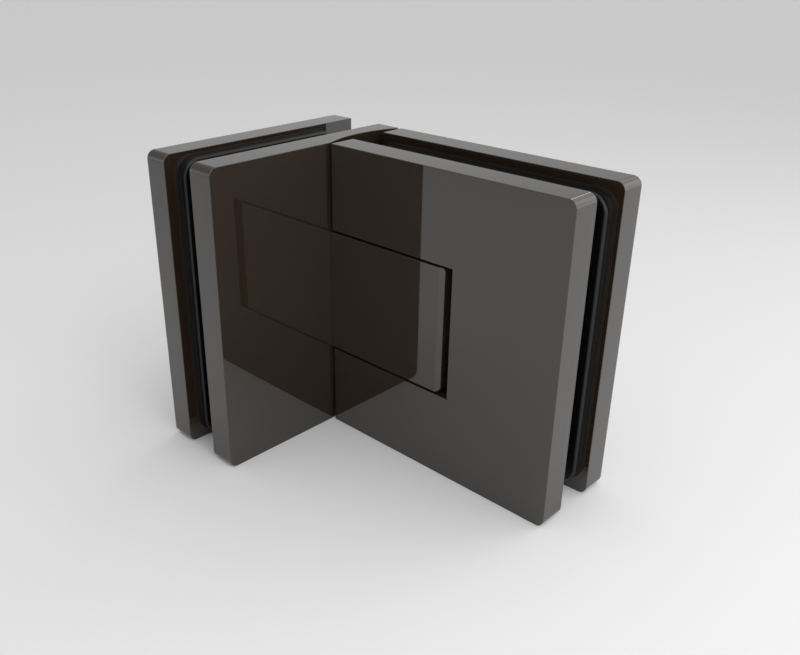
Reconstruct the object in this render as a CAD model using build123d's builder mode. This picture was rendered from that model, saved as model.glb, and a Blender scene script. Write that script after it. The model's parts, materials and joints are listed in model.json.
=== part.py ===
from build123d import *
import os
from math import hypot

# Glass door hinge for a glass door hung on a glass panel at a right angle.
# The origin is on the pivot axis, level with the bottom edges of the plates.
# X runs along the door leaf to its free end, Z runs up the pivot axis.
# The fixed leaf stands square to the door leaf, and its free end points to -Y.

# Driving dimensions, in millimetres
fixed_plate_width = 70.5
door_plate_width = 80.0
inner_plate_thickness = 8.6
outer_plate_thickness = 8.0
plate_corner_radius = 2.4
plate_margin = 14.0

# The glass and the room between the plates of each leaf
glass_thickness = 6.0
fixed_slot_width = 12.0
door_slot_width = 12.6

# The pivot, measured from the front face of the fixed inner plate
pivot_setback = 31.8
corner_gap = 1.1
scoop_clearance = 0.75

# The knuckle block and the notch that it stands in
knuckle_height = 37.5
knuckle_nose = 11.6
knuckle_nose_chamfer = 1.3
knuckle_corner_radius = 1.3
knuckle_clearance = 0.7
swing_clearance = 0.2
lead_in_width = 2.6
lead_in_depth = 0.08
lead_in_corner = 1.3

# The blocks between the plates, which stand in the glass cut-outs
block_edge_wall = 1.5
block_clearance = 0.3
block_corner_radius = 5.0
spacer_depth = 33.0
spacer_inset = 1.5
core_arm_reach = 24.0
core_web_end = 33.0

# Gaskets, set in from the plates' free ends and from their top and bottom edges
fixed_gasket_end_inset = 4.0
fixed_gasket_edge_inset = 1.3
door_gasket_end_inset = 2.1
door_gasket_edge_inset = 2.7
gasket_corner_radius = 5.5
gasket_hinge_inset = 2.0
gasket_block_gap = 2.5

# Pivot pin, bushes and the dowels that lock the pin in the core
pin_radius = 4.0
pin_end_inset = 1.0
pin_flat_distance = 3.35
running_clearance = 0.04
seat_clearance = 0.02
bush_radius = 6.0
bush_length = 7.5
thrust_play = 0.1
pin_relief = 0.6
dowel_radius = 1.5
dowel_inset = 0.3

# Plunger, rubber spring and plug that hold the door at its rest positions
plunger_radius = 5.0
plunger_length = 8.0
plunger_lift = 0.08
plunger_stem_radius = 2.0
spring_length = 7.0
spring_play = 0.3
plug_length = 5.0
plug_key = 5.0
plug_key_depth = 2.5

# Screws: shank radius, head radius, head depth, key across flats and its depth
clamp_screw = (2.5, 5.0, 2.5, 3.0, 1.6)
knuckle_screw = (3.0, 5.0, 4.0, 4.0, 2.0)
shank_clearance = 0.3
thread_clearance = 0.05
head_clearance = 0.05
screw_tip_clearance = 0.5

# Screw places
fixed_clamp_edge = 8.0
door_clamp_offset = 12.0
clamp_notch_wall = 2.25
knuckle_screw_edge = 6.75
fixed_thread_depth = 5.0
door_thread_depth = 6.0
knuckle_thread_depth = 12.0

# Heights, worked out from the knuckle outwards to the plates' edges
notch_height = knuckle_height + 2 * knuckle_clearance
clamp_rise = notch_height / 2 + clamp_notch_wall + clamp_screw[1]
block_height = 2 * (clamp_rise + clamp_screw[0] + shank_clearance + block_edge_wall)
plate_height = block_height + 2 * plate_margin
mid_height = plate_height / 2
notch_bottom = mid_height - notch_height / 2
knuckle_bottom = mid_height - knuckle_height / 2
knuckle_top = mid_height + knuckle_height / 2
block_bottom = mid_height - block_height / 2
arm_mid_offset = (block_height + notch_height) / 4
knuckle_screw_rise = knuckle_height / 2 - knuckle_screw_edge

# Places along and across the leaves
door_thickness = inner_plate_thickness + door_slot_width + outer_plate_thickness
half_leaf = door_thickness / 2
fixed_front = -pivot_setback
fixed_inner_back = fixed_front - inner_plate_thickness
fixed_outer_back = fixed_inner_back - fixed_slot_width
fixed_outer_front = fixed_outer_back - outer_plate_thickness
fixed_hinge_end = half_leaf
fixed_free_end = fixed_hinge_end - fixed_plate_width
door_hinge_end = fixed_front + corner_gap
door_free_end = door_hinge_end + door_plate_width
door_front = -half_leaf
door_inner_back = door_front + inner_plate_thickness
door_outer_back = door_inner_back + door_slot_width
scoop_radius = hypot(door_hinge_end, half_leaf) + scoop_clearance
notch_edge = half_leaf + swing_clearance
notch_radius = hypot(notch_edge, half_leaf)
fixed_gasket_thickness = (fixed_slot_width - glass_thickness) / 2
door_gasket_thickness = (door_slot_width - glass_thickness) / 2
spacer_thickness = fixed_slot_width - block_clearance
core_thickness = door_slot_width - block_clearance
spacer_hinge_end = fixed_hinge_end - spacer_inset
spacer_free_end = spacer_hinge_end - spacer_depth
core_hinge_end = -core_arm_reach
pin_length = block_height - 2 * pin_end_inset
plunger_tip = -(pin_radius + plunger_lift)
fixed_gasket_insets = (fixed_gasket_end_inset, fixed_gasket_edge_inset)
door_gasket_insets = (door_gasket_end_inset, door_gasket_edge_inset)
fixed_gasket_outline = (fixed_hinge_end, fixed_free_end, *fixed_gasket_insets, spacer_free_end)
door_gasket_outline = (door_hinge_end, door_free_end, *door_gasket_insets, core_web_end)


def leaf_face(start, end, corner):
    """Draw a plate's face from its hinge end to its free end, with the free end's corners rounded."""
    with Locations(((start + end) / 2, mid_height)):
        Rectangle(abs(end - start), plate_height)
    free_corners = vertices().sort_by(Axis.X, reverse=end > start)[:2]
    fillet(free_corners, corner)


def gasket_face(start, end, end_inset, edge_inset, block_end):
    """Draw a gasket's face: inside the plate's edges, and open where the block and the knuckle stand."""
    toward_free = 1 if end > start else -1
    near = start + toward_free * gasket_hinge_inset
    far = end - toward_free * end_inset
    with Locations(((near + far) / 2, mid_height)):
        Rectangle(abs(far - near), plate_height - 2 * edge_inset)
    fillet(vertices().sort_by(Axis.X, reverse=end > start)[:2], gasket_corner_radius)
    cut_end = block_end + toward_free * gasket_block_gap
    with Locations(((start + cut_end) / 2, mid_height)):
        Rectangle(abs(cut_end - start), block_height + 2 * gasket_block_gap, mode=Mode.SUBTRACT)


def notch_plan():
    """Draw the knuckle's notch in plan: open to the hinge end, and a circle about the pivot inside."""
    Circle(notch_radius)
    with Locations((door_hinge_end, 0)):
        Rectangle(2 * abs(door_hinge_end), 2 * notch_radius)


def lead_in(outer_face):
    """Make the wedge that is cut from a door plate's outer face beside the notch, with rounded corners."""
    outward = 1 if outer_face > 0 else -1
    with BuildPart() as wedge:
        with BuildSketch(Plane.XY.offset(notch_bottom)):
            with BuildLine():
                Polyline(
                    (notch_edge + lead_in_width, outer_face),
                    (notch_edge, outer_face - outward * lead_in_depth),
                    (0, outer_face - outward * lead_in_depth),
                    (0, outer_face + outward * lead_in_depth),
                    (notch_edge + lead_in_width, outer_face + outward * lead_in_depth),
                    close=True,
                )
            make_face()
        extrude(amount=notch_height)
        fillet(edges().filter_by(Axis.Y).sort_by(Axis.X)[-2:], lead_in_corner)
    return wedge.part


def screw(sizes, length, head):
    """Make one screw that points down, with the top of its head at the origin."""
    radius, head_radius, head_depth, key, key_depth = sizes
    hanging = (Align.CENTER, Align.CENTER, Align.MAX)
    with BuildPart() as made:
        if head == "countersunk":
            Cone(radius, head_radius, head_depth, align=hanging)
        else:
            Cylinder(head_radius, head_depth, align=hanging)
        with BuildSketch(Plane.XY.offset(-head_depth)):
            Circle(radius)
        extrude(amount=head_depth - length)
        with BuildSketch():
            RegularPolygon(key / 2, 6, major_radius=False)
        extrude(amount=-key_depth, mode=Mode.SUBTRACT)
    return made.part


def countersink(sizes, depth):
    """Cut clearance holes with countersinks that a screw's head lies flush in."""
    radius, head_radius = sizes[:2]
    CounterSinkHole(radius + shank_clearance, head_radius + head_clearance, depth=depth)


def tapped_hole(sizes, depth):
    """Cut the threaded holes that a screw's end turns into."""
    Hole(sizes[0] + thread_clearance, depth=depth)


os.makedirs("parts", exist_ok=True)

# Planes of the faces that screws enter, each with its first axis along the leaf
fixed_outer_side = Plane(origin=(fixed_outer_front, 0, mid_height), x_dir=(0, -1, 0), z_dir=(-1, 0, 0))
fixed_slot_side = Plane(origin=(fixed_inner_back, 0, mid_height), x_dir=(0, -1, 0), z_dir=(-1, 0, 0))
fixed_seat_side = Plane(origin=(fixed_front, 0, mid_height), x_dir=(0, -1, 0), z_dir=(-1, 0, 0))
door_outer_side = Plane(origin=(0, half_leaf, mid_height), x_dir=(-1, 0, 0), z_dir=(0, 1, 0))
door_slot_side = Plane(origin=(0, door_inner_back, mid_height), x_dir=(-1, 0, 0), z_dir=(0, 1, 0))
spacer_side = fixed_slot_side.offset(spacer_thickness)
core_side = door_slot_side.offset(core_thickness)

# Centres of the screws, along each leaf and up from mid height
levels = (-1, 1)
fixed_clamp_line = spacer_free_end + fixed_clamp_edge
fixed_clamp_spots = [(-fixed_clamp_line, level * clamp_rise) for level in levels]
door_clamp_spots = [(-door_clamp_offset, level * clamp_rise) for level in levels]
knuckle_screw_spots = [(0, level * knuckle_screw_rise) for level in levels]
dowel_spots = [(0, level * arm_mid_offset) for level in levels]

# Fixed inner plate: scooped about the pivot above and below the knuckle's seat
with BuildPart() as fixed_inner_plate:
    with BuildSketch(Plane.YZ.offset(fixed_inner_back)):
        leaf_face(fixed_hinge_end, fixed_free_end, plate_corner_radius)
    extrude(amount=inner_plate_thickness)
    with BuildSketch(Plane.XY, Plane.XY.offset(knuckle_top)):
        Circle(scoop_radius)
    extrude(amount=knuckle_bottom, mode=Mode.SUBTRACT)
    with Locations(fixed_slot_side):
        with Locations(*knuckle_screw_spots):
            CounterBoreHole(
                radius=knuckle_screw[0] + shank_clearance,
                counter_bore_radius=knuckle_screw[1] + head_clearance,
                counter_bore_depth=knuckle_screw[2],
                depth=inner_plate_thickness,
            )
        with Locations(*fixed_clamp_spots):
            tapped_hole(clamp_screw, fixed_thread_depth)

# Fixed outer plate, with the countersinks of its clamp screws
with BuildPart() as fixed_outer_plate:
    with BuildSketch(Plane.YZ.offset(fixed_outer_front)):
        leaf_face(fixed_hinge_end, fixed_free_end, plate_corner_radius)
    extrude(amount=outer_plate_thickness)
    with Locations(fixed_outer_side):
        with Locations(*fixed_clamp_spots):
            countersink(clamp_screw, outer_plate_thickness)

# Gaskets of the fixed leaf
with BuildPart() as fixed_inner_gasket:
    with BuildSketch(Plane.YZ.offset(fixed_inner_back - fixed_gasket_thickness)):
        gasket_face(*fixed_gasket_outline)
    extrude(amount=fixed_gasket_thickness)

with BuildPart() as fixed_outer_gasket:
    with BuildSketch(Plane.YZ.offset(fixed_outer_back)):
        gasket_face(*fixed_gasket_outline)
    extrude(amount=fixed_gasket_thickness)

# Spacer between the fixed plates
with BuildPart() as fixed_spacer:
    with BuildSketch(Plane.YZ.offset(fixed_inner_back - spacer_thickness)):
        with Locations(((spacer_hinge_end + spacer_free_end) / 2, mid_height)):
            Rectangle(spacer_depth, block_height)
        fillet(vertices().sort_by(Axis.X)[:2], block_corner_radius)
    extrude(amount=spacer_thickness)
    with Locations(spacer_side):
        with Locations(*fixed_clamp_spots):
            Hole(clamp_screw[0] + shank_clearance, depth=spacer_thickness)

# Knuckle block: seated on the fixed inner plate, its nose chamfered, bored for the pin and the plunger
with BuildPart() as knuckle_block:
    with BuildSketch(Plane.XY.offset(knuckle_bottom)):
        with Locations(((fixed_front + knuckle_nose) / 2, 0)):
            Rectangle(knuckle_nose - fixed_front, door_thickness)
        chamfer(vertices().sort_by(Axis.X)[-2:], knuckle_nose_chamfer)
    extrude(amount=knuckle_height)
    fillet(faces().sort_by(Axis.X)[-1].edges().filter_by(Axis.Y), knuckle_corner_radius)
    with Locations((0, 0, knuckle_top)):
        CounterBoreHole(
            radius=pin_radius + pin_relief,
            counter_bore_radius=bush_radius + seat_clearance,
            counter_bore_depth=bush_length,
        )
    with Locations(Location((0, 0, knuckle_bottom), (180, 0, 0))):
        CounterBoreHole(
            radius=pin_radius + pin_relief,
            counter_bore_radius=bush_radius + seat_clearance,
            counter_bore_depth=bush_length,
        )
    with Locations(fixed_seat_side):
        with Locations(*knuckle_screw_spots):
            tapped_hole(knuckle_screw, knuckle_thread_depth)
        Hole(plunger_radius + running_clearance, depth=pivot_setback)

# Bushes: each stands proud of the knuckle, and its end takes the thrust of the core's arm
bushes = {}
for place, seat, outward in (("upper", knuckle_top, 1), ("lower", knuckle_bottom, -1)):
    with BuildPart() as bush:
        with BuildSketch(Plane.XY.offset(seat - outward * bush_length)):
            Circle(bush_radius)
            Circle(pin_radius + running_clearance, mode=Mode.SUBTRACT)
        extrude(amount=outward * (bush_length + knuckle_clearance - thrust_play))
    bushes[f"{place}_bush"] = bush

# Plunger: its face bears on the pin's flats, and its stem guides the spring
plunger_bore = Plane(origin=(plunger_tip, 0, mid_height), x_dir=(0, 1, 0), z_dir=(-1, 0, 0))
with BuildPart() as plunger:
    with BuildSketch(plunger_bore):
        Circle(plunger_radius)
    extrude(amount=plunger_length)
    with BuildSketch(plunger_bore.offset(plunger_length)):
        Circle(plunger_stem_radius)
    extrude(amount=spring_length - spring_play)

# Rubber spring: a tube round the plunger's stem
with BuildPart() as rubber_spring:
    with BuildSketch(plunger_bore.offset(plunger_length)):
        Circle(plunger_radius - spring_play)
        Circle(plunger_stem_radius + spring_play, mode=Mode.SUBTRACT)
    extrude(amount=spring_length)

# Plug that is screwed in behind the spring
with BuildPart() as spring_plug:
    with BuildSketch(plunger_bore.offset(plunger_length + spring_length)):
        Circle(plunger_radius)
    extrude(amount=plug_length)
    with BuildSketch(plunger_bore.offset(plunger_length + spring_length + plug_length)):
        RegularPolygon(plug_key / 2, 6, major_radius=False)
    extrude(amount=-plug_key_depth, mode=Mode.SUBTRACT)

inner_lead_in = lead_in(door_front)
outer_lead_in = lead_in(half_leaf)

# Door inner plate: notched round the knuckle, with a shallow lead-in beside the notch
with BuildPart() as door_inner_plate:
    with BuildSketch(Plane.XZ.offset(-door_inner_back)):
        leaf_face(door_hinge_end, door_free_end, plate_corner_radius)
    extrude(amount=inner_plate_thickness)
    with BuildSketch(Plane.XY.offset(notch_bottom)):
        notch_plan()
    extrude(amount=notch_height, mode=Mode.SUBTRACT)
    add(inner_lead_in, mode=Mode.SUBTRACT)
    with Locations(door_slot_side):
        with Locations(*door_clamp_spots):
            tapped_hole(clamp_screw, door_thread_depth)

# Door outer plate: the same notch, with the countersinks of its clamp screws
with BuildPart() as door_outer_plate:
    with BuildSketch(Plane.XZ.offset(-half_leaf)):
        leaf_face(door_hinge_end, door_free_end, plate_corner_radius)
    extrude(amount=outer_plate_thickness)
    with BuildSketch(Plane.XY.offset(notch_bottom)):
        notch_plan()
    extrude(amount=notch_height, mode=Mode.SUBTRACT)
    add(outer_lead_in, mode=Mode.SUBTRACT)
    with Locations(door_outer_side):
        with Locations(*door_clamp_spots):
            countersink(clamp_screw, outer_plate_thickness)

# Gaskets of the door leaf
with BuildPart() as door_inner_gasket:
    with BuildSketch(Plane.XZ.offset(-door_inner_back - door_gasket_thickness)):
        gasket_face(*door_gasket_outline)
    extrude(amount=door_gasket_thickness)

with BuildPart() as door_outer_gasket:
    with BuildSketch(Plane.XZ.offset(-door_outer_back)):
        gasket_face(*door_gasket_outline)
    extrude(amount=door_gasket_thickness)

# Forked core between the door plates: two arms hold the pin, the web joins them past the knuckle
with BuildPart() as door_core:
    with BuildSketch(Plane.XZ.offset(-door_inner_back - core_thickness)):
        with Locations(((core_hinge_end + core_web_end) / 2, mid_height)):
            Rectangle(core_web_end - core_hinge_end, block_height)
        fillet(vertices().sort_by(Axis.X)[-2:], block_corner_radius)
    extrude(amount=core_thickness)
    with BuildSketch(Plane.XY.offset(notch_bottom)):
        notch_plan()
    extrude(amount=notch_height, mode=Mode.SUBTRACT)
    with Locations((0, 0, block_bottom + block_height)):
        Hole(pin_radius + seat_clearance, depth=block_height)
    with Locations(core_side):
        with Locations(*door_clamp_spots):
            Hole(clamp_screw[0] + shank_clearance, depth=core_thickness)
        with Locations(*dowel_spots):
            Hole(dowel_radius + seat_clearance, depth=core_thickness / 2)

# Pivot pin: straight, with four flats for the plunger and a socket for each dowel
with BuildPart() as pivot_pin:
    with BuildSketch(Plane.XY.offset(mid_height - pin_length / 2)):
        Circle(pin_radius)
    extrude(amount=pin_length)
    flat_height = knuckle_height - 2 * bush_length
    with BuildSketch(Plane.XY.offset(mid_height - flat_height / 2)):
        Circle(pin_radius)
        Rectangle(2 * pin_flat_distance, 2 * pin_flat_distance, mode=Mode.SUBTRACT)
    extrude(amount=flat_height, mode=Mode.SUBTRACT)
    with Locations(core_side):
        with Locations(*dowel_spots):
            Hole(dowel_radius + seat_clearance, depth=core_thickness / 2)

# Dowels, driven from one side of the core's arms into the middle of the pin
with BuildPart() as pin_dowels:
    with BuildSketch(core_side.offset(-dowel_inset)):
        with Locations(*dowel_spots):
            Circle(dowel_radius)
    extrude(amount=2 * dowel_inset - core_thickness / 2)

# Screws, each as long as what it passes through and the thread that it turns into
through_inner_plate = inner_plate_thickness + knuckle_thread_depth - screw_tip_clearance
through_fixed_leaf = outer_plate_thickness + fixed_slot_width + fixed_thread_depth - screw_tip_clearance
through_door_leaf = outer_plate_thickness + door_slot_width + door_thread_depth - screw_tip_clearance
long_knuckle_screw = screw(knuckle_screw, through_inner_plate, "cap")
long_fixed_screw = screw(clamp_screw, through_fixed_leaf, "countersunk")
long_door_screw = screw(clamp_screw, through_door_leaf, "countersunk")

with BuildPart() as knuckle_screws:
    with Locations(fixed_slot_side):
        with Locations(*knuckle_screw_spots):
            add(long_knuckle_screw)

with BuildPart() as fixed_clamp_screws:
    with Locations(fixed_outer_side):
        with Locations(*fixed_clamp_spots):
            add(long_fixed_screw)

with BuildPart() as door_clamp_screws:
    with Locations(door_outer_side):
        with Locations(*door_clamp_spots):
            add(long_door_screw)

pieces = {
    "fixed_inner_plate": fixed_inner_plate,
    "fixed_outer_plate": fixed_outer_plate,
    "fixed_inner_gasket": fixed_inner_gasket,
    "fixed_outer_gasket": fixed_outer_gasket,
    "fixed_spacer": fixed_spacer,
    "fixed_clamp_screws": fixed_clamp_screws,
    "knuckle_block": knuckle_block,
    "knuckle_screws": knuckle_screws,
    **bushes,
    "plunger": plunger,
    "rubber_spring": rubber_spring,
    "spring_plug": spring_plug,
    "door_inner_plate": door_inner_plate,
    "door_outer_plate": door_outer_plate,
    "door_inner_gasket": door_inner_gasket,
    "door_outer_gasket": door_outer_gasket,
    "door_core": door_core,
    "door_clamp_screws": door_clamp_screws,
    "pivot_pin": pivot_pin,
    "pin_dowels": pin_dowels,
}
for name, piece in pieces.items():
    piece.part.label = name
    export_step(piece.part, f"parts/{name}.step")
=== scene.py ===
# %% [markdown]
# A glass door hinge in polished black nickel, on a pale studio floor. The hinge comes packed from the CAD
# step as a fixed frame: every plate, screw and gasket is already in its place and at its real size. This
# lesson gives each piece its finish, adds what is too fine for the solids, and lights a small studio
# round it. Everything is in metres, with the origin on the hinge's pivot line and Z up.

import json
import math

import bmesh
import bpy
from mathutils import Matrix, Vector


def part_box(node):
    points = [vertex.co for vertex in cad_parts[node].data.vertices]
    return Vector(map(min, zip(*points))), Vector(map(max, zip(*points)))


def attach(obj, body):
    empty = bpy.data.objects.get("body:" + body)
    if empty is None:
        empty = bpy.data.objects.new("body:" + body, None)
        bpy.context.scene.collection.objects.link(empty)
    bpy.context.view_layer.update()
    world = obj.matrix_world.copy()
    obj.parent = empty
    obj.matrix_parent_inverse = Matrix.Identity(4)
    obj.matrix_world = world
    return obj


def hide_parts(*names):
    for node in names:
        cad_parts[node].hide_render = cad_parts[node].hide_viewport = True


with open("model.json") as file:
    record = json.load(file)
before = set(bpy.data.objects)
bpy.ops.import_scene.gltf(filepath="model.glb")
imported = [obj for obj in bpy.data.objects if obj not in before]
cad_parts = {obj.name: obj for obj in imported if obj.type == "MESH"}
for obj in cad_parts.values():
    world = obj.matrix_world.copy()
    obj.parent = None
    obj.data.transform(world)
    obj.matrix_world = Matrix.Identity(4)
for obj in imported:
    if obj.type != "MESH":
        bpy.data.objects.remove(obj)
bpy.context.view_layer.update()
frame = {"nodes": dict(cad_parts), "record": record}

MM = 0.001

# %% [markdown]
# The camera comes first, because every later choice is judged through it. It could be aimed by eye, but
# its place and turn were worked out from the straight edges of the hinge in the photograph: 45 degrees
# round to the right and 25 degrees up. The photograph is cropped a little to one side of its own centre,
# and a small lens shift repeats that crop.

# %% The camera
CAMERA_PLACE = Vector((0.14447, -0.17755, 0.14404))
CAMERA_LOOK = Vector((-0.63977, 0.64247, -0.42182))
PHOTO_WIDTH = 800
FOCAL_PIXELS = 849.98
CENTRE_PIXEL = 363.56
SENSOR_WIDTH = 36
NEAREST_SEEN = 10 * MM

camera_data = bpy.data.cameras.new("camera")
camera_data.sensor_width = SENSOR_WIDTH
camera_data.lens = FOCAL_PIXELS / PHOTO_WIDTH * SENSOR_WIDTH
camera_data.shift_x = 0.5 - CENTRE_PIXEL / PHOTO_WIDTH
camera_data.clip_start = NEAREST_SEEN
camera = bpy.data.objects.new("camera", camera_data)
bpy.context.scene.collection.objects.link(camera)
camera.location = CAMERA_PLACE
camera.rotation_euler = CAMERA_LOOK.to_track_quat("-Z", "Y").to_euler()
bpy.context.scene.camera = camera
print("camera lens", round(camera_data.lens, 2), "mm, shift", round(camera_data.shift_x, 4))

# %% [markdown]
# Shader maths reads better as an expression than as a tangle of nodes. This small class wraps one output
# socket of a node tree. Adding, subtracting or multiplying two of them puts a Math node in the tree, and
# the method node makes any other kind of node from its type, its settings and its inputs.


# %% Write shader maths as expressions
def feed(node, name, value):
    """Set one of a node's inputs to a number or a colour, or link a Socket to it."""
    if isinstance(value, Socket):
        value.tree.links.new(value.output, node.inputs[name])
    else:
        node.inputs[name].default_value = value


class Socket:
    """One output socket of a node tree, which can be used in sums."""

    def __init__(self, tree, output):
        self.tree = tree
        self.output = output

    def node(self, kind, settings, inputs, output=0):
        made = self.tree.nodes.new(kind)
        for name, value in settings.items():
            setattr(made, name, value)
        for name, value in inputs.items():
            feed(made, name, value)
        return Socket(self.tree, made.outputs[output])

    def calculate(self, operation, first, second):
        return self.node("ShaderNodeMath", {"operation": operation}, {0: first, 1: second})

    def __add__(self, other):
        return self.calculate("ADD", self, other)

    def __radd__(self, other):
        return self.calculate("ADD", other, self)

    def __sub__(self, other):
        return self.calculate("SUBTRACT", self, other)

    def __rsub__(self, other):
        return self.calculate("SUBTRACT", other, self)

    def __mul__(self, other):
        return self.calculate("MULTIPLY", self, other)

    def __rmul__(self, other):
        return self.calculate("MULTIPLY", other, self)


print("shader maths ready")

# %% [markdown]
# Each finish starts the same way: a new material, its Principled shader, and the place on the piece to
# hang a pattern on. Object coordinates do for that, because every piece sits at the origin, so a pattern
# keeps its real size and stays on the metal when the hinge opens.


# %% Start a finish
def start_finish(name):
    """A new material and its Principled shader."""
    made = bpy.data.materials.new(name)
    made.use_nodes = True
    return made, made.node_tree.nodes["Principled BSDF"]


def place_on_piece(made):
    """Object coordinates in a material, as a Socket."""
    coordinates = made.node_tree.nodes.new("ShaderNodeTexCoord")
    return Socket(made.node_tree, coordinates.outputs["Object"])


def noise(place, scale, detail=2.0):
    """Smooth noise from 0 to 1, with its grain in cycles to the metre."""
    return place.node("ShaderNodeTexNoise", {}, {"Vector": place, "Scale": scale, "Detail": detail})


def blend_colours(amount, low, high):
    """A colour between low and high. A Mix node has its two colours at 6 and 7 and their blend at 2."""
    mix = {"Factor": amount, 6: low, 7: high}
    return amount.node("ShaderNodeMix", {"data_type": "RGBA"}, mix, output=2)


print("finish helpers ready")

# %% [markdown]
# Black nickel is plated over polished brass. Head on it is almost black with a warm brown depth, and a
# clear mirror lies on top of that: the two leaves reflect each other in sharp, darker pictures. It could
# be made as a metal, but a metal mirrors nearly as strongly head on as at a graze, and this one doesn't.
# A dense clear shader does: its base colour is the brown depth, and a high index of refraction gives the
# mirror, which grows stronger towards grazing angles. The polish is never perfect, so fine noise moves
# the roughness a little.

# %% Black nickel
NICKEL_DEEP = (0.021, 0.0145, 0.0095, 1)
NICKEL_WARM = (0.025, 0.0165, 0.0105, 1)
NICKEL_MIRROR_TINT = (0.92, 0.97, 1.0, 1)
NICKEL_INDEX = 1.75
NICKEL_ROUGHNESS = 0.015
NICKEL_HAZE = 0.02
NICKEL_CLOUDS = 60.0


def black_nickel():
    """Polished plating: a clear mirror over a dark brown depth."""
    made, shader = start_finish("black_nickel")
    cloud = noise(place_on_piece(made), NICKEL_CLOUDS)
    feed(shader, "Base Color", blend_colours(cloud, NICKEL_DEEP, NICKEL_WARM))
    feed(shader, "Roughness", NICKEL_ROUGHNESS + NICKEL_HAZE * cloud)
    feed(shader, "Specular Tint", NICKEL_MIRROR_TINT)
    feed(shader, "IOR", NICKEL_INDEX)
    return made


nickel = black_nickel()
print(nickel.name, "has", len(nickel.node_tree.nodes), "nodes")

# %% [markdown]
# The gaskets are black rubber out of a polished mould. A plain black would do from afar, but close to,
# the rubber's skin shows in the slots as a soft gloss along the lip. The rubber itself gives back almost
# no light, so the base is nearly black, and a fine grain in the roughness and the bump keeps the gloss
# from looking like lacquer.

# %% Gasket rubber
RUBBER_BLACK = (0.002, 0.002, 0.002, 1)
RUBBER_DARK_GREY = (0.004, 0.004, 0.0038, 1)
RUBBER_INDEX = 1.4
RUBBER_ROUGHNESS = 0.25
RUBBER_UNEVENNESS = 0.1
RUBBER_GRAIN = 2500.0
RUBBER_GRAIN_DETAIL = 3.0
RUBBER_GRAIN_DEPTH = 0.01 * MM
RUBBER_BUMP_STRENGTH = 0.15


def gasket_rubber():
    """Moulded rubber: nearly black, with a soft grained gloss."""
    made, shader = start_finish("gasket_rubber")
    grain = noise(place_on_piece(made), RUBBER_GRAIN, RUBBER_GRAIN_DETAIL)
    feed(shader, "Base Color", blend_colours(grain, RUBBER_BLACK, RUBBER_DARK_GREY))
    feed(shader, "Roughness", RUBBER_ROUGHNESS + RUBBER_UNEVENNESS * grain)
    feed(shader, "IOR", RUBBER_INDEX)
    relief = {"Strength": RUBBER_BUMP_STRENGTH, "Distance": RUBBER_GRAIN_DEPTH, "Height": grain}
    feed(shader, "Normal", grain.node("ShaderNodeBump", {}, relief))
    return made


rubber = gasket_rubber()
print(rubber.name, "has", len(rubber.node_tree.nodes), "nodes")

# %% [markdown]
# The parts inside and the screws have plainer finishes. The blocks between the plates are blackened
# brass, so that nothing bright shows in the slots. The pin, its dowels, the plunger, its plug and the
# knuckle's screws are ground steel, the clamp screws are black steel, and the bushes are pale plastic.
# The three metals differ only in colour, roughness and grain, so one function makes them all. A metal's
# base colour tints its mirror, and a fine grain in the colour and the roughness keeps it from looking
# like chrome.

# %% Bare metals and plastic
BLACKENED_BRASS = (0.03, 0.028, 0.026, 1)
GROUND_STEEL = (0.56, 0.56, 0.55, 1)
BLACK_STEEL = (0.07, 0.065, 0.06, 1)
GRAIN_SHADE = 0.8
METAL_GRAIN_DETAIL = 4.0
PLASTIC_DARKER = (0.72, 0.7, 0.64, 1)
PLASTIC_LIGHTER = (0.78, 0.76, 0.7, 1)
PLASTIC_ROUGHNESS = 0.4
PLASTIC_GRAIN = 900.0
GRAIN_UNEVENNESS = 0.1


def bare_metal(name, colour, roughness, grain_scale):
    """A metal without plating, with a fine grain in its colour and its roughness."""
    made, shader = start_finish(name)
    grain = noise(place_on_piece(made), grain_scale, METAL_GRAIN_DETAIL)
    darker = tuple(GRAIN_SHADE * channel for channel in colour[:3]) + (1,)
    feed(shader, "Base Color", blend_colours(grain, darker, colour))
    feed(shader, "Metallic", 1.0)
    feed(shader, "Roughness", roughness + GRAIN_UNEVENNESS * grain)
    return made


def bush_plastic():
    """Pale, dull plastic."""
    made, shader = start_finish("bush_plastic")
    grain = noise(place_on_piece(made), PLASTIC_GRAIN)
    feed(shader, "Base Color", blend_colours(grain, PLASTIC_DARKER, PLASTIC_LIGHTER))
    feed(shader, "Roughness", PLASTIC_ROUGHNESS + GRAIN_UNEVENNESS * grain)
    return made


dark_brass = bare_metal("blackened_brass", BLACKENED_BRASS, roughness=0.3, grain_scale=700.0)
steel = bare_metal("ground_steel", GROUND_STEEL, roughness=0.22, grain_scale=900.0)
dark_steel = bare_metal("black_screw_steel", BLACK_STEEL, roughness=0.25, grain_scale=900.0)
plastic = bush_plastic()
print("inner finishes:", dark_brass.name, steel.name, dark_steel.name, plastic.name)

# %% [markdown]
# The frame's record says which slot of material each node has. Finishes could be given to the nodes one
# by one, but handed out by slot they need only one short table, and no node is forgotten. A more detailed
# copy that is made later takes its finish along from the node.

# %% Give every node its finish
FINISHES = {
    "nickel": nickel,
    "nickel_screw": dark_steel,
    "dark_brass": dark_brass,
    "steel": steel,
    "bush_plastic": plastic,
    "gasket_rubber": rubber,
}
for subpart in frame["record"]["subparts"]:
    mesh = frame["nodes"][subpart["node"]].data
    mesh.materials.clear()
    mesh.materials.append(FINISHES[subpart["material_slot"]])

# %% [markdown]
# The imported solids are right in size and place, but their edges are knife-sharp and their meshes are
# loose triangles. Where a piece needs more shape, it could be modelled again from a primitive, but a copy
# of the solid already has every hole and corner. The copy's triangles are welded at their shared corners,
# and those that lie in one plane are dissolved into a single face. That gives the clean edges that the
# bevel and bisect tools need, and the copy then stands in for the solid.

# %% Weld a copy of a solid
SAME_POINT = 0.001 * MM
SAME_PLANE = math.radians(0.5)


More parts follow.
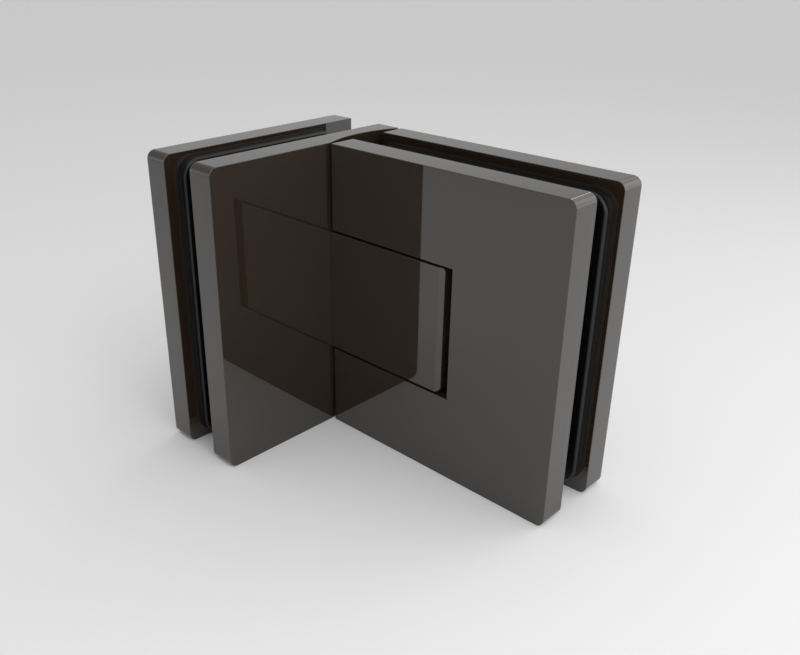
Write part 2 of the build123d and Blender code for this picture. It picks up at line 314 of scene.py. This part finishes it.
def select_only(piece):
    bpy.ops.object.select_all(action="DESELECT")
    piece.select_set(True)
    bpy.context.view_layer.objects.active = piece


def welded_copy(node, body):
    """A copy of a solid with whole faces, which replaces the solid and moves with its body."""
    piece = bpy.data.objects.new("detailed_" + node, frame["nodes"][node].data.copy())
    bpy.context.scene.collection.objects.link(piece)
    select_only(piece)
    bpy.ops.object.mode_set(mode="EDIT")
    bpy.ops.mesh.select_all(action="SELECT")
    bpy.ops.mesh.customdata_custom_splitnormals_clear()
    bpy.ops.mesh.remove_doubles(threshold=SAME_POINT)
    bpy.ops.mesh.dissolve_limited(angle_limit=SAME_PLANE)
    bpy.ops.object.mode_set(mode="OBJECT")
    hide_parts(node)
    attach(piece, body)
    return piece


def select_where(piece, kind, wanted):
    """In edit mode, select only the points, edges or faces that pass a test."""
    bpy.ops.mesh.select_mode(type=kind)
    bpy.ops.mesh.select_all(action="DESELECT")
    shape = bmesh.from_edit_mesh(piece.data)
    for part in {"VERT": shape.verts, "EDGE": shape.edges, "FACE": shape.faces}[kind]:
        part.select_set(wanted(part))
    shape.select_flush_mode()
    bmesh.update_edit_mesh(piece.data)


print("copy and selection helpers ready")

# %% [markdown]
# Each glass panel is held between two moulded rubber gaskets. The rim that shows in the slot isn't
# square: it slopes in from the plate, steps out again to a round bead, and turns over into the face that
# grips the glass. The lip could be drawn as a profile and swept along a path, but the solid's own rim
# already follows every corner. So bisect cuts a loop of edges round the rim at each level of the profile,
# shrink/fatten pulls the loop in along its normals, and a bevel rounds the last edge into the bead. The
# fixed panel's gaskets end where its glass does, short of the hinge's outer corner, so a first bisect
# cuts them off there and closes the cut.

# %% The gaskets' moulded lips
# Each step of the profile is a share of the way from plate to glass, and how far in the rim lies there.
LIP_PROFILE = ((0.06, 0.0), (0.35, 0.5 * MM), (0.5, 0.12 * MM))
LIP_ROUND = 1.3 * MM
LIP_ROUND_STEPS = 6
LIP_SMOOTH_ANGLE = math.radians(50)
ON_LEVEL = 0.01 * MM
FIXED_GLASS_END = 2.0 * MM
X_AXIS = 0
Y_AXIS = 1
GASKETS = {
    "fixed_inner_gasket": ("fixed_leaf", X_AXIS, "high"),
    "fixed_outer_gasket": ("fixed_leaf", X_AXIS, "low"),
    "door_inner_gasket": ("door_leaf", Y_AXIS, "low"),
    "door_outer_gasket": ("door_leaf", Y_AXIS, "high"),
}


def cut_off_at_glass_end():
    """In edit mode, cut a fixed gasket off where the fixed glass ends."""
    end = Vector((0, FIXED_GLASS_END, 0))
    bpy.ops.mesh.select_all(action="SELECT")
    bpy.ops.mesh.bisect(plane_co=end, plane_no=(0, 1, 0), clear_outer=True, use_fill=True)


def lipped_gasket(node, body, axis, plate_end):
    """A gasket whose rim follows the lip profile from its plate to the glass."""
    piece = welded_copy(node, body)
    lowest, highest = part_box(node)
    plate, glass = (lowest, highest) if plate_end == "low" else (highest, lowest)
    across = Vector((0, 0, 0))
    across[axis] = 1
    bpy.ops.object.mode_set(mode="EDIT")
    if body == "fixed_leaf":
        cut_off_at_glass_end()
    for share, depth in LIP_PROFILE:
        level = plate[axis] + share * (glass[axis] - plate[axis])
        bpy.ops.mesh.select_all(action="SELECT")
        bpy.ops.mesh.bisect(plane_co=level * across, plane_no=across)
        select_where(piece, "VERT", lambda point: abs(point.co[axis] - level) < ON_LEVEL)
        if depth:
            bpy.ops.transform.shrink_fatten(value=-depth, use_even_offset=True)
    end = glass[axis]
    select_where(piece, "FACE", lambda face: abs(face.calc_center_median()[axis] - end) < ON_LEVEL)
    bpy.ops.mesh.region_to_loop()
    bpy.ops.mesh.bevel(offset=LIP_ROUND, segments=LIP_ROUND_STEPS, affect="EDGES")
    bpy.ops.object.mode_set(mode="OBJECT")
    bpy.ops.object.shade_smooth_by_angle(angle=LIP_SMOOTH_ANGLE)
    return piece


for node, (body, axis, plate_end) in GASKETS.items():
    made = lipped_gasket(node, body, axis, plate_end)
    print(made.name, "has", len(made.data.polygons), "faces")

# %% [markdown]
# The plates and the knuckle are machined, polished and then plated, so every edge is broken by a tenth of
# a millimetre. That is too fine for the solids, but it is what catches a thin line of light when the
# hinge is seen close to. A Bevel modifier could break every edge at once, but the lead-in beside the
# knuckle's notch is a step shallower than the bevel is wide, and its edges have to be left out. So the
# sharp edges are selected by the angle between their faces and bevelled in edit mode. Smooth shading
# would then bend every mirror near its edges, so a Weighted Normal modifier gives the large flat faces
# back their true direction.

# %% The plates' broken edges
BROKEN_EDGE = 0.12 * MM
BROKEN_EDGE_STEPS = 2
SHARP_ANGLE = math.radians(40)
SMOOTH_ANGLE = math.radians(35)
LARGEST_FACES_ONLY = 100
POLISHED = {
    "fixed_inner_plate": "fixed_leaf",
    "fixed_outer_plate": "fixed_leaf",
    "knuckle_block": "fixed_leaf",
    "door_inner_plate": "door_leaf",
    "door_outer_plate": "door_leaf",
}
# A lead-in's floor leans by less than two degrees from its plate's face, and the step round it is shallow.
LEAST_LEAN = math.radians(0.8)
MOST_LEAN = math.radians(8)
LEAD_IN_STEP = 0.1 * MM


def on_lead_in(face):
    """Whether a face is a lead-in's leaning floor, or part of the shallow step round it."""
    lean = math.acos(min(abs(face.normal.y), 1))
    depths = [point.co.y for point in face.verts]
    is_floor = LEAST_LEAN < lean < MOST_LEAN
    is_step = lean > MOST_LEAN and max(depths) - min(depths) < LEAD_IN_STEP
    return is_floor or is_step


def polished_piece(node, body):
    """A plated piece with its sharp edges broken. Only the door leaf's plates have a lead-in."""

    def is_broken(edge):
        left_out = body == "door_leaf" and any(on_lead_in(face) for face in edge.link_faces)
        return edge.calc_face_angle(0.0) > SHARP_ANGLE and not left_out

    piece = welded_copy(node, body)
    bpy.ops.object.shade_smooth_by_angle(angle=SMOOTH_ANGLE)
    bpy.ops.object.mode_set(mode="EDIT")
    select_where(piece, "EDGE", is_broken)
    bpy.ops.mesh.bevel(offset=BROKEN_EDGE, segments=BROKEN_EDGE_STEPS, affect="EDGES")
    bpy.ops.object.mode_set(mode="OBJECT")
    true_faces = piece.modifiers.new("true_faces", "WEIGHTED_NORMAL")
    true_faces.mode = "FACE_AREA"
    true_faces.weight = LARGEST_FACES_ONLY
    true_faces.keep_sharp = True
    bpy.ops.object.modifier_apply(modifier=true_faces.name)
    return piece


for node, body in POLISHED.items():
    made = polished_piece(node, body)
    print(made.name, "has", len(made.data.polygons), "faces")

# %% [markdown]
# The hinge stands on a pale, dull floor, which also runs far back as the background. A curved paper sweep
# is the usual way, but the camera looks down so steeply that a flat plane alone fills the picture.

# %% The studio floor
FLOOR_SIZE = 12
FLOOR_DROP = 0.02 * MM
FLOOR_PALE = (0.8, 0.8, 0.8, 1)


def floor_paper():
    """Pale paper without any gloss."""
    made, shader = start_finish("studio_floor")
    feed(shader, "Base Color", FLOOR_PALE)
    feed(shader, "Roughness", 1.0)
    feed(shader, "Specular IOR Level", 0.0)
    return made


bpy.ops.mesh.primitive_plane_add(size=FLOOR_SIZE, location=(0, 0, -FLOOR_DROP))
floor = bpy.context.object
floor.name = "studio_floor"
floor.data.materials.append(floor_paper())
print("floor", FLOOR_SIZE, "m square")

# %% [markdown]
# A mirror shows whatever stands round it, so the sky of light is half of this hinge's finish. A picture
# of a studio wrapped round the scene is one way to make it, but a few sums on height are easier to
# change. The sky is brightest low down, which the top faces reflect, and bright again overhead, which
# lights the floor. A wide glow behind the hinge lights the rounded upper corners of the door leaf.

# %% The sky of light
SKY_EVERYWHERE = 0.19
SKY_HORIZON = 0.95
SKY_OVERHEAD = 1.04
SKY_GLOW = 0.75
GLOW_DIRECTION = (0.15, 0.84, 0.52)
GLOW_STARTS = 0.85
GLOW_IS_FULL = 0.97

world = bpy.data.worlds.new("studio_light")
bpy.context.scene.world = world
world.use_nodes = True
coordinates = world.node_tree.nodes.new("ShaderNodeTexCoord")
direction = Socket(world.node_tree, coordinates.outputs["Generated"])
height = direction.node("ShaderNodeSeparateXYZ", {}, {"Vector": direction}, output=2)
lowness = 1.0 - height
horizon = SKY_HORIZON * lowness * lowness * lowness
overhead = SKY_OVERHEAD * height * height * height * height
toward_glow = direction.node(
    "ShaderNodeVectorMath", {"operation": "DOT_PRODUCT"}, {0: direction, 1: GLOW_DIRECTION}, output=1
)
glow_range = {"From Min": GLOW_STARTS, "From Max": GLOW_IS_FULL, "To Min": 0.0, "To Max": SKY_GLOW}
glow = toward_glow.node(
    "ShaderNodeMapRange", {"interpolation_type": "SMOOTHSTEP"}, {"Value": toward_glow, **glow_range}
)
feed(world.node_tree.nodes["Background"], "Color", SKY_EVERYWHERE + horizon + glow + overhead)
print(world.name, "has", len(world.node_tree.nodes), "nodes")

# %% [markdown]
# Two large soft lamps stand on the right, where the floor of the photograph is brightest, and a third,
# far behind, draws the thin bright lines along the upper edges. Small lamps would give hard spots in the
# mirrors, so each is a wide square that faces its target. The greys were matched in Blender's Standard
# view, which changes no colour for effect, so the scene sets it.

# %% The soft lamps
# Each lamp has its place, its target, the side of its square in metres and its power in watts.
LAMPS = {
    "right_lamp": ((0.43, 0.09, 0.3), (0.2, -0.2, 0), 0.8, 1.15),
    "front_right_lamp": ((0.5, -0.25, 0.35), (0.1, -0.1, 0), 0.6, 1.85),
    "rim_lamp": ((-1.6, 3.5, 2.3), (0, 0, 0), 0.9, 4.6),
}


def soft_lamp(name, place, target, side, power):
    """A square lamp that faces its target."""
    lamp = bpy.data.lights.new(name, "AREA")
    lamp.shape = "SQUARE"
    lamp.size = side
    lamp.energy = power
    holder = bpy.data.objects.new(name, lamp)
    bpy.context.scene.collection.objects.link(holder)
    holder.location = place
    holder.rotation_euler = (Vector(target) - Vector(place)).to_track_quat("-Z", "Y").to_euler()


for name, (place, target, side, power) in LAMPS.items():
    soft_lamp(name, place, target, side, power)
    print(name, "is", side, "m square and gives", power, "W")

bpy.context.scene.view_settings.view_transform = "Standard"
